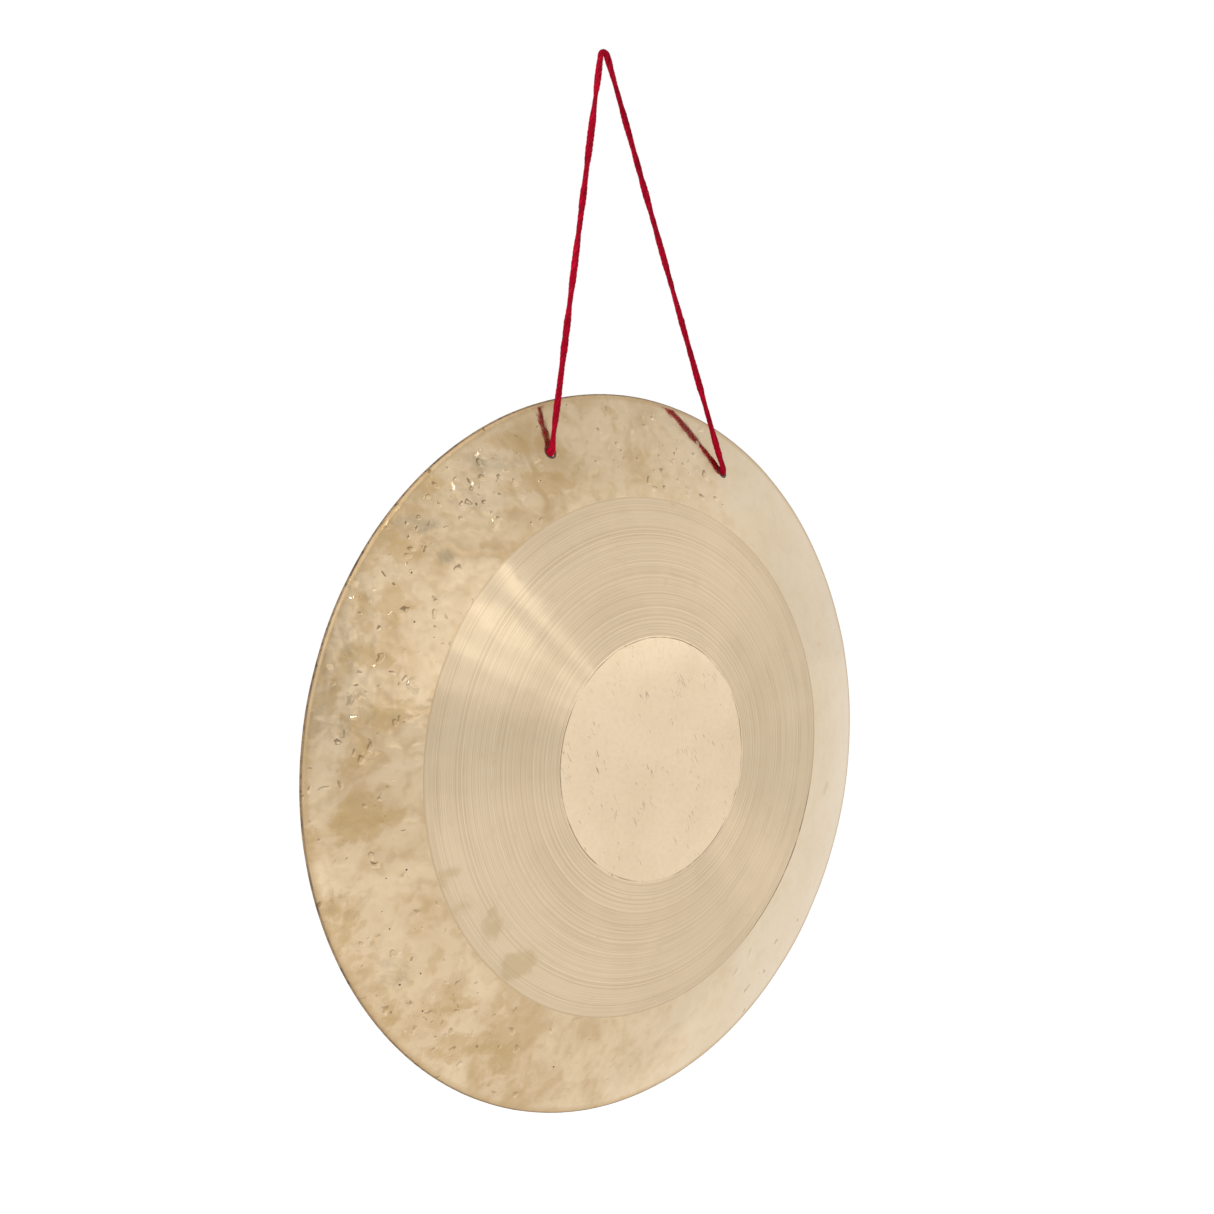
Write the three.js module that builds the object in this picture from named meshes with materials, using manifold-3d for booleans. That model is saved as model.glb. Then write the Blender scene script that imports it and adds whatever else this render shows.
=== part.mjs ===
// A hanging wind gong: one thin domed bronze plate with two cord holes near its rim,
// hung by a single soft red cord that bends over a hook and is knotted behind each hole.
//
// Units are millimetres and +Z is up. The struck face looks along -Y and +X is to the right
// of somebody who faces it. The origin is the centre of the cord's top bend, where the hook is.

import * as THREE from 'three';
import { mergeVertices } from 'three/addons/utils/BufferGeometryUtils.js';
import Module from 'manifold-3d';

const wasm = await Module();
wasm.setup();

// ---------------------------------------------------------------- driving dimensions

const PLATE_RADIUS = 200;
const PLATE_THICKNESS = 1.4;
const DOME_HEIGHT = 36.3; // how far the centre stands in front of the rim
const DOME_POWER = 2.5; // over 2, so the dome is flatter at its centre and steeper at its rim
const PLATE_RINGS = 11;
const PLATE_SEGMENTS = 72;

const HOLE_RADIUS = 2.5;
const HOLE_SIDE = 64; // to each side of the plate's upright centre line
const HOLE_RISE = 162.6; // above the plate's centre
const HOLE_SEGMENTS = 16;

// How the plate hangs. The leaning and the turning bring its centre of mass below the hook:
// the dome makes it lean, and the left strand is shorter than the right one, which turns it.
const PLATE_CENTRE = [-0.4, 19.14, -382]; // centre of the rim's front edge
const PLATE_LEAN = THREE.MathUtils.degToRad(2.74); // top towards the viewer
const PLATE_TURN = THREE.MathUtils.degToRad(4.8); // left hole up, in the plate's own plane

const CORD_RADIUS = 1.7;
const CORD_SIDES = 8;
const CORD_STEP = 8; // length of one step along a straight stretch
const BEND_STEP = 1.6; // length of one step along a tight bend

const KNOT_RADIUS = 4.8;
const KNOT_HALF_LENGTH = 4.2;
const KNOT_GAP = 0.4; // between the plate's back and the knot
const KNOT_SEGMENTS = 14;
const KNOT_ARC_POINTS = 8;

// The cord's route, from its top bend down to the knots. Neighbouring stretches end about 1 mm
// apart, so that each can swing clear of the next.
const CROWN_ROUTE = [
  [-3.8, 0, -5.8],
  [-2.8, 0, -1.5],
  [-2.3, 0, 0.5],
  [-1.5, 0, 1.8],
  [-0.1, 0, 2.4],
  [1.4, 0, 2.0],
  [2.3, 0, 0.7],
  [3.0, 0, -1.4],
  [4.3, 0, -5.4],
];
const LEFT_STRAND_ROUTE = [
  [-4.1, 0, -7.3],
  [-6.7, 0, -19.0],
  [-15.7, -0.1, -58.9],
  [-24.4, -0.1, -97.9],
  [-33.2, -0.1, -137.0],
  [-41.9, -0.2, -176.0],
  [-47.5, -0.2, -201.0],
];
const RIGHT_STRAND_ROUTE = [
  [4.8, 0, -6.8],
  [8.6, 0, -18.2],
  [26.9, 0.1, -73.8],
  [39.5, 0.2, -111.8],
  [52.0, 0.2, -149.8],
  [64.6, 0.3, -187.8],
  [72.7, 0.3, -212.2],
];
const LEFT_END_ROUTE = [
  [-47.8, -0.2, -202.3],
  [-49.1, -0.3, -208.0],
  [-50.1, -0.6, -212.5],
  [-50.5, 0.3, -214.6],
  [-50.4, 2.0, -215.7],
];
const RIGHT_END_ROUTE = [
  [73.1, 0.3, -213.5],
  [74.9, 0.2, -219.0],
  [76.3, -0.1, -223.3],
  [76.8, 0.8, -225.3],
  [76.8, 2.5, -226.3],
];
const LEFT_TAIL_ROUTE = [
  [-50.0, 6.6, -217.2],
  [-50.2, 8.2, -222.0],
  [-50.8, 9.0, -230.0],
  [-50.2, 9.2, -238.0],
];
const RIGHT_TAIL_ROUTE = [
  [76.1, 7.1, -227.8],
  [76.4, 8.7, -232.6],
  [77.1, 9.4, -240.0],
  [76.6, 9.8, -247.0],
];

// ---------------------------------------------------------------- materials

const bronze = new THREE.MeshStandardMaterial({ color: 0xdcc294, metalness: 1, roughness: 0.28 });
const redCord = new THREE.MeshStandardMaterial({ color: 0xa80c2c, metalness: 0, roughness: 0.9 });

// ---------------------------------------------------------------- solids

function toManifold(geometry) {
  const bare = geometry.clone();
  bare.deleteAttribute('normal');
  bare.deleteAttribute('uv');
  const merged = mergeVertices(bare, 1e-4);
  return new wasm.Manifold(
    new wasm.Mesh({
      numProp: 3,
      vertProperties: new Float32Array(merged.attributes.position.array),
      triVerts: new Uint32Array(merged.index.array),
    }),
  );
}

function fromManifold(solid) {
  const mesh = solid.getMesh();
  const geometry = new THREE.BufferGeometry();
  geometry.setAttribute('position', new THREE.BufferAttribute(mesh.vertProperties, 3));
  geometry.setIndex(new THREE.BufferAttribute(mesh.triVerts, 1));
  geometry.computeVertexNormals();
  return geometry;
}

// ---------------------------------------------------------------- plate

// How far the front face stands in front of the rim, at a distance from the centre.
function domeHeight(radius) {
  return DOME_HEIGHT * (1 - (radius / PLATE_RADIUS) ** DOME_POWER);
}

function domeSlope(radius) {
  return (-DOME_HEIGHT * DOME_POWER * (radius / PLATE_RADIUS) ** (DOME_POWER - 1)) / PLATE_RADIUS;
}

// A cord hole's centre on the front face and the direction straight out of that face,
// in the plate's own frame. side is -1 for the left hole and +1 for the right one.
function cordHole(side) {
  const radius = Math.hypot(HOLE_SIDE, HOLE_RISE);
  const slope = domeSlope(radius);
  const centre = new THREE.Vector3(side * HOLE_SIDE, -domeHeight(radius), HOLE_RISE);
  const outward = new THREE.Vector3(
    (-slope * centre.x) / radius,
    -1,
    (-slope * centre.z) / radius,
  ).normalize();
  return { centre, outward };
}

function holeCutter(side) {
  const { centre, outward } = cordHole(side);
  const length = 8 * PLATE_THICKNESS;
  const cutter = new THREE.CylinderGeometry(HOLE_RADIUS, HOLE_RADIUS, length, HOLE_SEGMENTS);
  const turn = new THREE.Quaternion().setFromUnitVectors(new THREE.Vector3(0, 1, 0), outward);
  cutter.applyQuaternion(turn);
  cutter.translate(centre.x, centre.y, centre.z);
  return toManifold(cutter);
}

function plateGeometry() {
  const front = [];
  const back = [];
  for (let ring = 0; ring <= PLATE_RINGS; ring += 1) {
    const radius = (PLATE_RADIUS * ring) / PLATE_RINGS;
    front.push(new THREE.Vector2(radius, -domeHeight(radius)));
    back.unshift(new THREE.Vector2(radius, PLATE_THICKNESS - domeHeight(radius)));
  }
  const lathe = new THREE.LatheGeometry([...front, ...back], PLATE_SEGMENTS);
  const drilled = toManifold(lathe).subtract(holeCutter(-1)).subtract(holeCutter(1));
  return fromManifold(drilled);
}

// ---------------------------------------------------------------- cord

function tubeGeometry(route, step) {
  const path = new THREE.CatmullRomCurve3(route.map((point) => new THREE.Vector3(...point)));
  const section = new THREE.Shape();
  for (let side = 0; side < CORD_SIDES; side += 1) {
    const angle = (2 * Math.PI * side) / CORD_SIDES;
    const corner = [CORD_RADIUS * Math.cos(angle), CORD_RADIUS * Math.sin(angle)];
    if (side === 0) section.moveTo(...corner);
    else section.lineTo(...corner);
  }
  section.closePath();
  const steps = Math.ceil(path.getLength() / step);
  return new THREE.ExtrudeGeometry(section, { steps, extrudePath: path, bevelEnabled: false });
}

// The stopper knot behind a hole, a plain rounded lump, with the cord's short tail below it.
function knotGeometry(side, tailRoute) {
  const profile = [];
  for (let point = 0; point <= KNOT_ARC_POINTS; point += 1) {
    const angle = Math.PI * (point / KNOT_ARC_POINTS - 0.5);
    const radius = Math.max(0, KNOT_RADIUS * Math.cos(angle));
    profile.push(new THREE.Vector2(radius, KNOT_HALF_LENGTH * Math.sin(angle)));
  }
  const { centre, outward } = cordHole(side);
  const lump = new THREE.LatheGeometry(profile, KNOT_SEGMENTS);
  const turn = new THREE.Quaternion().setFromUnitVectors(new THREE.Vector3(0, 1, 0), outward);
  const depth = PLATE_THICKNESS + KNOT_GAP + KNOT_HALF_LENGTH;
  const place = centre.addScaledVector(outward, -depth);
  lump.applyQuaternion(turn);
  lump.translate(place.x, place.y, place.z);
  lump.applyMatrix4(plateFrame.matrix);
  return fromManifold(toManifold(lump).add(toManifold(tubeGeometry(tailRoute, CORD_STEP / 2))));
}

// ---------------------------------------------------------------- assembly

function namedMesh(name, geometry, material) {
  const mesh = new THREE.Mesh(geometry, material);
  mesh.name = name;
  return mesh;
}

const gong = new THREE.Group();

const plateFrame = new THREE.Group();
plateFrame.position.set(...PLATE_CENTRE);
plateFrame.rotation.set(PLATE_LEAN, PLATE_TURN, 0);
plateFrame.updateMatrix();
plateFrame.add(namedMesh('gong_plate', plateGeometry(), bronze));
gong.add(plateFrame);

gong.add(namedMesh('cord_crown', tubeGeometry(CROWN_ROUTE, BEND_STEP), redCord));
gong.add(namedMesh('cord_strand_left', tubeGeometry(LEFT_STRAND_ROUTE, CORD_STEP), redCord));
gong.add(namedMesh('cord_strand_right', tubeGeometry(RIGHT_STRAND_ROUTE, CORD_STEP), redCord));
gong.add(namedMesh('cord_end_left', tubeGeometry(LEFT_END_ROUTE, BEND_STEP), redCord));
gong.add(namedMesh('cord_end_right', tubeGeometry(RIGHT_END_ROUTE, BEND_STEP), redCord));
gong.add(namedMesh('knot_left', knotGeometry(-1, LEFT_TAIL_ROUTE), redCord));
gong.add(namedMesh('knot_right', knotGeometry(1, RIGHT_TAIL_ROUTE), redCord));

export default gong;
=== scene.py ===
"""A hanging wind gong: its looks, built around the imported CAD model.

The camera and the studio come first, then the cord with its knots, and then the bronze plate.
Lengths are in metres, apart from the names that end in _MM.
"""

import math
import random

import bpy
import numpy as np
from mathutils import Matrix, Vector
from mathutils.geometry import delaunay_2d_cdt


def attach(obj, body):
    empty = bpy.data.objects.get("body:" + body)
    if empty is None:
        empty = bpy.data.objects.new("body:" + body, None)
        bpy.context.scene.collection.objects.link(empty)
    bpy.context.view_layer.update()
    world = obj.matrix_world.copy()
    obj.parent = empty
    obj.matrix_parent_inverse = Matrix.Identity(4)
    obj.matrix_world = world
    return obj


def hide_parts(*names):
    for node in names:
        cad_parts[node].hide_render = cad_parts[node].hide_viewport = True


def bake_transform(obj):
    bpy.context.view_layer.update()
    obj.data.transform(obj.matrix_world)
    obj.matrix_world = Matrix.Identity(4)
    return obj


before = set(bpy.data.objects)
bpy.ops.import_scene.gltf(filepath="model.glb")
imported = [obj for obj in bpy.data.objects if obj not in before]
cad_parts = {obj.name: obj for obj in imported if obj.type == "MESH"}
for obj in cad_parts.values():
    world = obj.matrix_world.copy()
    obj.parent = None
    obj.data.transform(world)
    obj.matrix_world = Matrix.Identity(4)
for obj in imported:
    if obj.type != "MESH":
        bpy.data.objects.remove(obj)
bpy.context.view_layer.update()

MM = 0.001

# ------------------------------------------------------------------ driving dimensions (mm)

PLATE_RADIUS_MM = 200.0
PLATE_THICKNESS_MM = 1.4
DOME_HEIGHT_MM = 36.3
DOME_POWER = 2.5
PLATE_CENTRE_MM = (-0.4, 19.14, -382.0)
PLATE_LEAN = math.radians(2.74)
PLATE_TURN = math.radians(4.8)
LATHED_INNER_MM = 67.6
LATHED_OUTER_MM = 143.2
HOLE_SIDE_MM = 64.0
HOLE_RISE_MM = 162.6
HOLE_RADIUS_MM = 2.5

# The cord's route: the same points as the CAD model's.
CROWN_ROUTE = [
    (-3.8, 0, -5.8), (-2.8, 0, -1.5), (-2.3, 0, 0.5), (-1.5, 0, 1.8), (-0.1, 0, 2.4), (1.4, 0, 2.0),
    (2.3, 0, 0.7), (3.0, 0, -1.4), (4.3, 0, -5.4),
]
LEFT_STRAND_ROUTE = [
    (-4.1, 0, -7.3), (-6.7, 0, -19.0), (-15.7, -0.1, -58.9), (-24.4, -0.1, -97.9),
    (-33.2, -0.1, -137.0), (-41.9, -0.2, -176.0), (-47.5, -0.2, -201.0),
]
RIGHT_STRAND_ROUTE = [
    (4.8, 0, -6.8), (8.6, 0, -18.2), (26.9, 0.1, -73.8), (39.5, 0.2, -111.8), (52.0, 0.2, -149.8),
    (64.6, 0.3, -187.8), (72.7, 0.3, -212.2),
]
LEFT_END_ROUTE = [
    (-47.8, -0.2, -202.3), (-49.1, -0.3, -208.0), (-50.1, -0.6, -212.5), (-50.5, 0.3, -214.6),
    (-50.4, 2.0, -215.7),
]
RIGHT_END_ROUTE = [
    (73.1, 0.3, -213.5), (74.9, 0.2, -219.0), (76.3, -0.1, -223.3), (76.8, 0.8, -225.3),
    (76.8, 2.5, -226.3),
]

# ------------------------------------------------------------------ helpers for shapes

CURVE_STEPS = 60  # points of the curve between two given ones, before it is evened out


def part_way(a, b, t, start, end):
    """Where a point is at t when it goes evenly from a at the start to b at the end."""
    return a + (b - a) * (t - start) / (end - start)


def smooth_line(points, step):
    """Points about a step apart along a centripetal Catmull-Rom curve through the given ones."""
    given = np.array(points, float)
    ends = [2 * given[0] - given[1], *given, 2 * given[-1] - given[-2]]
    dense = []
    for a, b, c, d in zip(ends, ends[1:], ends[2:], ends[3:]):
        t0 = 0.0
        t1 = t0 + np.linalg.norm(b - a) ** 0.5
        t2 = t1 + np.linalg.norm(c - b) ** 0.5
        t3 = t2 + np.linalg.norm(d - c) ** 0.5
        for t in np.linspace(t1, t2, CURVE_STEPS, endpoint=False):
            ab = part_way(a, b, t, t0, t1)
            bc = part_way(b, c, t, t1, t2)
            cd = part_way(c, d, t, t2, t3)
            dense.append(part_way(part_way(ab, bc, t, t0, t2), part_way(bc, cd, t, t1, t3), t, t1, t2))
    dense.append(given[-1])
    return even_line(np.array(dense), step)


def lengths_along(line):
    """How far along the line each of its points is."""
    steps = np.linalg.norm(np.diff(line, axis=0), axis=1)
    return np.concatenate([[0], np.cumsum(steps)])


def even_line(dense, step):
    """The same line with its points evenly spaced."""
    along = lengths_along(dense)
    count = max(2, int(round(along[-1] / step)) + 1)
    wanted = np.linspace(0, along[-1], count)
    return np.column_stack([np.interp(wanted, along, dense[:, i]) for i in range(3)])


def angles_round(count):
    return math.tau * np.arange(count) / count


def line_length(line):
    return float(np.linalg.norm(np.diff(line, axis=0), axis=1).sum())


def carried_frames(line):
    """Tangent, side and front of each point. The side starts along X and is carried without twist."""
    tangents = np.gradient(line, axis=0)
    tangents /= np.linalg.norm(tangents, axis=1)[:, None]
    side = np.array([1.0, 0.0, 0.0])
    sides = []
    for tangent in tangents:
        side = side - tangent * side.dot(tangent)
        side /= np.linalg.norm(side)
        sides.append(side)
    sides = np.array(sides)
    return tangents, sides, np.cross(tangents, sides)


def new_mesh(name, verts, faces, uvs=None):
    """An object of smooth faces. uvs is one pair for each corner, in the faces' order."""
    mesh = bpy.data.meshes.new(name)
    mesh.from_pydata([tuple(v) for v in verts], [], faces)
    mesh.polygons.foreach_set("use_smooth", [True] * len(mesh.polygons))
    if uvs is not None:
        layer = mesh.uv_layers.new(name="along")
        layer.data.foreach_set("uv", np.array(uvs, float).ravel())
    mesh.update()
    made = bpy.data.objects.new(name, mesh)
    bpy.context.scene.collection.objects.link(made)
    return made


# ------------------------------------------------------------------ helpers for materials

class Signal:
    """What a node gives. A sum, difference, product or quotient with a signal in it is a new node."""

    def __init__(self, socket):
        self.socket = socket
        self.tree = socket.id_data

    def __add__(self, other):
        return maths("ADD", self, other)

    def __sub__(self, other):
        return maths("SUBTRACT", self, other)

    def __rsub__(self, other):
        return maths("SUBTRACT", other, self)

    def __mul__(self, other):
        return maths("MULTIPLY", self, other)

    def __truediv__(self, other):
        return maths("DIVIDE", self, other)

    def above(self, limit):
        """1 where this is more than the limit, 0 elsewhere."""
        return maths("GREATER_THAN", self, limit)


def connect(value, socket):
    """Links a signal to a socket, or sets the socket to a plain value."""
    if isinstance(value, Signal):
        value.tree.links.new(value.socket, socket)
    else:
        socket.default_value = value


def add(tree, kind, inputs=(), out=0, **settings):
    """Adds a node and gives its output signal, or a list of them where out names several."""
    node = tree.nodes.new(kind)
    for key, value in settings.items():
        setattr(node, key, value)
    for key, value in dict(inputs).items():
        connect(value, node.inputs[key])
    if isinstance(out, tuple):
        return [Signal(node.outputs[key]) for key in out]
    return Signal(node.outputs[out])


def maths(operation, a, b):
    tree = a.tree if isinstance(a, Signal) else b.tree
    return add(tree, "ShaderNodeMath", {0: a, 1: b}, operation=operation)


def vector_maths(operation, a, b=(0, 0, 0), c=(0, 0, 0), out=0):
    return add(a.tree, "ShaderNodeVectorMath", {0: a, 1: b, 2: c}, out, operation=operation)


def between(value, low, high, to_low=0.0, to_high=1.0, way="SMOOTHSTEP"):
    """Goes smoothly from to_low to to_high as value goes from low to high."""
    inputs = {0: value, 1: low, 2: high, 3: to_low, 4: to_high}
    return add(value.tree, "ShaderNodeMapRange", inputs, interpolation_type=way)


def blend_number(factor, a, b):
    return add(factor.tree, "ShaderNodeMix", {0: factor, 2: a, 3: b})


def blend_colour(factor, a, b):
    return add(factor.tree, "ShaderNodeMix", {0: factor, 6: a, 7: b}, 2, data_type="RGBA")


def paint(colour, *coats):
    """Lays coats on a colour one after another. Each says how much of it covers, and its colour."""
    for cover, coat in coats:
        colour = blend_colour(cover, colour, coat)
    return colour


def split(vector):
    return add(vector.tree, "ShaderNodeSeparateXYZ", {0: vector}, (0, 1, 2))


def combined(x, y=0.0, z=0.0):
    return add(x.tree, "ShaderNodeCombineXYZ", {0: x, 1: y, 2: z})


def stretched(vector, scale=(1, 1, 1), turn=(0, 0, 0), shift=(0, 0, 0)):
    inputs = {"Vector": vector, "Scale": scale, "Rotation": turn, "Location": shift}
    return add(vector.tree, "ShaderNodeMapping", inputs)


def noise(vector, scale, detail=3.0, roughness=0.55, distortion=0.0):
    shape = {"Scale": scale, "Detail": detail, "Roughness": roughness, "Distortion": distortion}
    return add(vector.tree, "ShaderNodeTexNoise", {"Vector": vector, **shape})


def cells(vector, scale):
    """Distance to the nearest of some scattered points, and three random values for each point."""
    inputs = {"Vector": vector, "Scale": scale, "Randomness": 1.0}
    distance, colour = add(vector.tree, "ShaderNodeTexVoronoi", inputs, ("Distance", "Color"))
    return distance, add(vector.tree, "ShaderNodeSeparateColor", {0: colour}, (0, 1, 2))


def bump(height, distance, strength=1.0, normal=None):
    inputs = {"Height": height, "Distance": distance, "Strength": strength}
    if normal is not None:
        inputs["Normal"] = normal
    return add(height.tree, "ShaderNodeBump", inputs)


def start_material(name):
    material = bpy.data.materials.new(name)
    material.use_nodes = True
    return material, material.node_tree


def object_place(tree):
    return add(tree, "ShaderNodeTexCoord", out="Object")


def finish_material(material, colour, roughness, sockets):
    """Connects a material's colour, its roughness and its shader's other sockets."""
    shader = material.node_tree.nodes["Principled BSDF"]
    for name, value in {"Base Color": colour, "Roughness": roughness, **sockets}.items():
        connect(value, shader.inputs[name])
    return material


def finish_metal(material, colour, roughness, normal, metallic=1.0):
    return finish_material(material, colour, roughness, {"Metallic": metallic, "Normal": normal})


# ------------------------------------------------------------------ camera, stage and light

CAMERA_PLACE = (-0.5849, -0.6633, -0.2729)
CAMERA_AZIMUTH = math.radians(-40.56)
CAMERA_ELEVATION = math.radians(1.73)
CAMERA_ROLL = math.radians(-2.81)
CAMERA_LENS = 47.64
CAMERA_SENSOR = 36
CAMERA_NEAR = 0.01

WHITE = (1, 1, 1, 1)
FLOOR_HEIGHT = -1.0
FLOOR_HALF = 14.0
FLOOR_WHITE = (0.90, 0.90, 0.90, 1)
# How brightly the floor glows: to the camera, in the metal, and in the metal far to the right.
FLOOR_GLOW = 0.45
FLOOR_GLOW_IN_METAL = 0.373
FLOOR_GLOW_ON_RIGHT = 0.52
FLOOR_RIGHT = (0.94, 0.985)  # how far to the right that part starts and is full

# The studio's brightness, and what makes it uneven: noise, a dimmer ceiling, a dimmer strip low on
# the right, and a dark patch round one direction. The pairs say where a change starts and ends.
STUDIO_STRENGTH = 1.21
DIFFUSE_STRENGTH = 0.62
UNEVEN_SCALE = 3.4
UNEVEN_DETAIL = 1.5
UNEVEN_BY = 0.03
CEILING = (0.08, 0.60)
CEILING_SHARE = 0.71
RIGHT_SIDE = (0.78, 0.94)
RIGHT_LOW = (0.38, 0.05)
RIGHT_LOSS = 0.145
DARK_STRENGTH = 0.60
DARK_DIRECTION = (-0.65, -0.76, 0.03)
DARK_PATCH = (math.cos(math.radians(41)), math.cos(math.radians(9)))

# Place, aim, size and power of the one light for matt surfaces.
SIDE_PLACE = (-1.7, -0.5, 0.1)
SIDE_AIM = (0, 0, -0.38)
SIDE_SIZE = 1.6
SIDE_POWER = 16.0
# Small soft lights high on the left: each one draws a bright spoke on the lathed ring.
# Name, place, width and radiance.
SPOKE_AIM = (-0.08, -0.01, -0.30)
SPOKE_LIGHTS = (
    ("spoke_light_1", (-0.37, -0.95, 1.09), 0.12, 100),
    ("spoke_light_2", (-0.75, -1.10, 0.82), 0.09, 160),
    ("spoke_light_3", (-0.93, -1.20, 0.55), 0.085, 125),
    ("spoke_light_4", (-1.10, -1.23, 0.29), 0.08, 54),
)


def make_camera():
    across = math.cos(CAMERA_ELEVATION)
    sideways = math.sin(CAMERA_AZIMUTH) * across
    back = Vector((sideways, -math.cos(CAMERA_AZIMUTH) * across, math.sin(CAMERA_ELEVATION)))
    right = (-back).cross(Vector((0, 0, 1))).normalized()
    up = right.cross(-back)
    rolled_right = math.cos(CAMERA_ROLL) * right + math.sin(CAMERA_ROLL) * up
    rolled_up = -math.sin(CAMERA_ROLL) * right + math.cos(CAMERA_ROLL) * up
    data = bpy.data.cameras.new("camera")
    data.lens = CAMERA_LENS
    data.sensor_width = CAMERA_SENSOR
    data.clip_start = CAMERA_NEAR
    camera = bpy.data.objects.new("camera", data)
    turn = Matrix((rolled_right, rolled_up, back)).transposed().to_4x4()
    camera.matrix_world = Matrix.Translation(CAMERA_PLACE) @ turn
    bpy.context.scene.collection.objects.link(camera)
    bpy.context.scene.camera = camera


def area_light(name, place, aim, shape, size, power, glossy):
    """A soft light that the camera doesn't see. It lights either reflections or matt surfaces."""
    data = bpy.data.lights.new(name, "AREA")
    data.shape = shape
    data.size = size
    data.energy = power
    light = bpy.data.objects.new(name, data)
    light.visible_glossy = glossy
    light.visible_diffuse = not glossy
    light.visible_camera = False
    turn = (Vector(aim) - Vector(place)).to_track_quat("-Z", "Y")
    light.matrix_world = Matrix.Translation(place) @ turn.to_matrix().to_4x4()
    bpy.context.scene.collection.objects.link(light)


def make_world():
    """A white studio all round, darker only where the photographer and the room behind them are."""
    world = bpy.data.worlds.new("studio")
    bpy.context.scene.world = world
    world.use_nodes = True
    tree = world.node_tree
    direction = add(tree, "ShaderNodeTexCoord", out="Generated")
    x, _, z = split(direction)
    towards = vector_maths("DOT_PRODUCT", direction, DARK_DIRECTION, out="Value")
    uneven = noise(direction, UNEVEN_SCALE, UNEVEN_DETAIL, 0.5)
    strength = between(towards, *DARK_PATCH, STUDIO_STRENGTH, DARK_STRENGTH)
    strength *= between(uneven, 0.3, 0.7, 1 - UNEVEN_BY, 1 + UNEVEN_BY, "LINEAR")
    strength *= between(z, *CEILING, 1.0, CEILING_SHARE)
    strength *= 1.0 - between(x, *RIGHT_SIDE, 0.0, RIGHT_LOSS) * between(z, *RIGHT_LOW)
    rays = ("Is Diffuse Ray", "Is Camera Ray")
    diffuse_ray, camera_ray = add(tree, "ShaderNodeLightPath", out=rays)
    strength = blend_number(diffuse_ray, strength, DIFFUSE_STRENGTH)
    background = tree.nodes["Background"]
    connect(blend_number(camera_ray, strength, 1.0), background.inputs["Strength"])
    connect(WHITE, background.inputs["Color"])


def make_floor():
    half = FLOOR_HALF
    corners = [(-half, -half, 0), (half, -half, 0), (half, half, 0), (-half, half, 0)]
    floor = new_mesh("floor", corners, [(0, 1, 2, 3)])
    floor.location = (0, 0, FLOOR_HEIGHT)
    material, tree = start_material("floor")
    rightward = split(vector_maths("NORMALIZE", object_place(tree)))[0]
    in_metal = between(rightward, *FLOOR_RIGHT, FLOOR_GLOW_IN_METAL, FLOOR_GLOW_ON_RIGHT)
    glow = blend_number(add(tree, "ShaderNodeLightPath", out="Is Camera Ray"), in_metal, FLOOR_GLOW)
    glowing = {"Emission Color": WHITE, "Emission Strength": glow, "Specular IOR Level": 0.1}
    floor.data.materials.append(finish_material(material, FLOOR_WHITE, 0.9, glowing))


def make_stage():
    bpy.context.scene.view_settings.view_transform = "Standard"
    make_world()
    make_floor()
    for name, place, width, radiance in SPOKE_LIGHTS:
        power = radiance * math.pi**2 * width**2 / 4
        area_light(name, place, SPOKE_AIM, "DISK", width, power, True)
    area_light("side_softbox", SIDE_PLACE, SIDE_AIM, "SQUARE", SIDE_SIZE, SIDE_POWER, False)


make_camera()
make_stage()

# ------------------------------------------------------------------ the cord

CORD_STEP_MM = 0.65
CORD_SIDES = 36
CORD_WIDE_MM = 1.95
CORD_NARROW_MM = 1.42
# How much the cord grows each way where it is pressed round.
ROUND_WIDER = 0.27
ROUND_THICKER = 0.74
CORD_ROLL_PITCH_MM = 74.0
CORD_PLIES = 7
CORD_PLY_PITCH_MM = 19.0
CORD_PLY_DEPTH = 0.19
CORD_FULL_MM = 4.5  # how far from the holes the cord is pressed round and smooth
CORD_WAVELENGTHS_MM = (61.0, 37.0, 23.0, 13.5, 8.0)
# The slow waves that vary the cord: their seeds, and by how much three of them do it.
ROLL_SEED = 5
SWELL_SEED = 9
PLY_SEED = 3
FLAT_SEED = 21
ROLL_SWAY = 0.7
SWELL_SHARE = 0.065
PLY_SWAY = 0.8
FUZZ_PER_MM = 2.2
FUZZ_RADIUS_MM = 0.035
FUZZ_ROOT_MM = 0.12  # how deep a fibre starts in the cord
FUZZ_FREE_RINGS = 8
# Painted shade: the left strand's colour is scaled by the first number and the right strand's by the
# second.
CORD_LEFT_SHADE = 0.99
CORD_RIGHT_SHADE = 0.82
# Colours as linear light.
CORD_DEEP = (0.10, 0.0002, 0.003, 1)
CORD_RED = (0.40, 0.0005, 0.016, 1)
CORD_BRIGHT = (0.90, 0.005, 0.050, 1)
CORD_SHEEN = (1.0, 0.12, 0.28, 1)


def cord_wave(along, seed):
    """Slow, seeded swelling and narrowing along the cord, from about -1 to 1."""
    chance = random.Random(seed)
    total = np.zeros_like(along)
    for wavelength in CORD_WAVELENGTHS_MM:
        phase = chance.uniform(0, math.tau)
        weight = math.sqrt(wavelength / CORD_WAVELENGTHS_MM[0])
        total += weight * np.sin(math.tau * along / wavelength + phase)
    return total / 2.2


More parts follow.
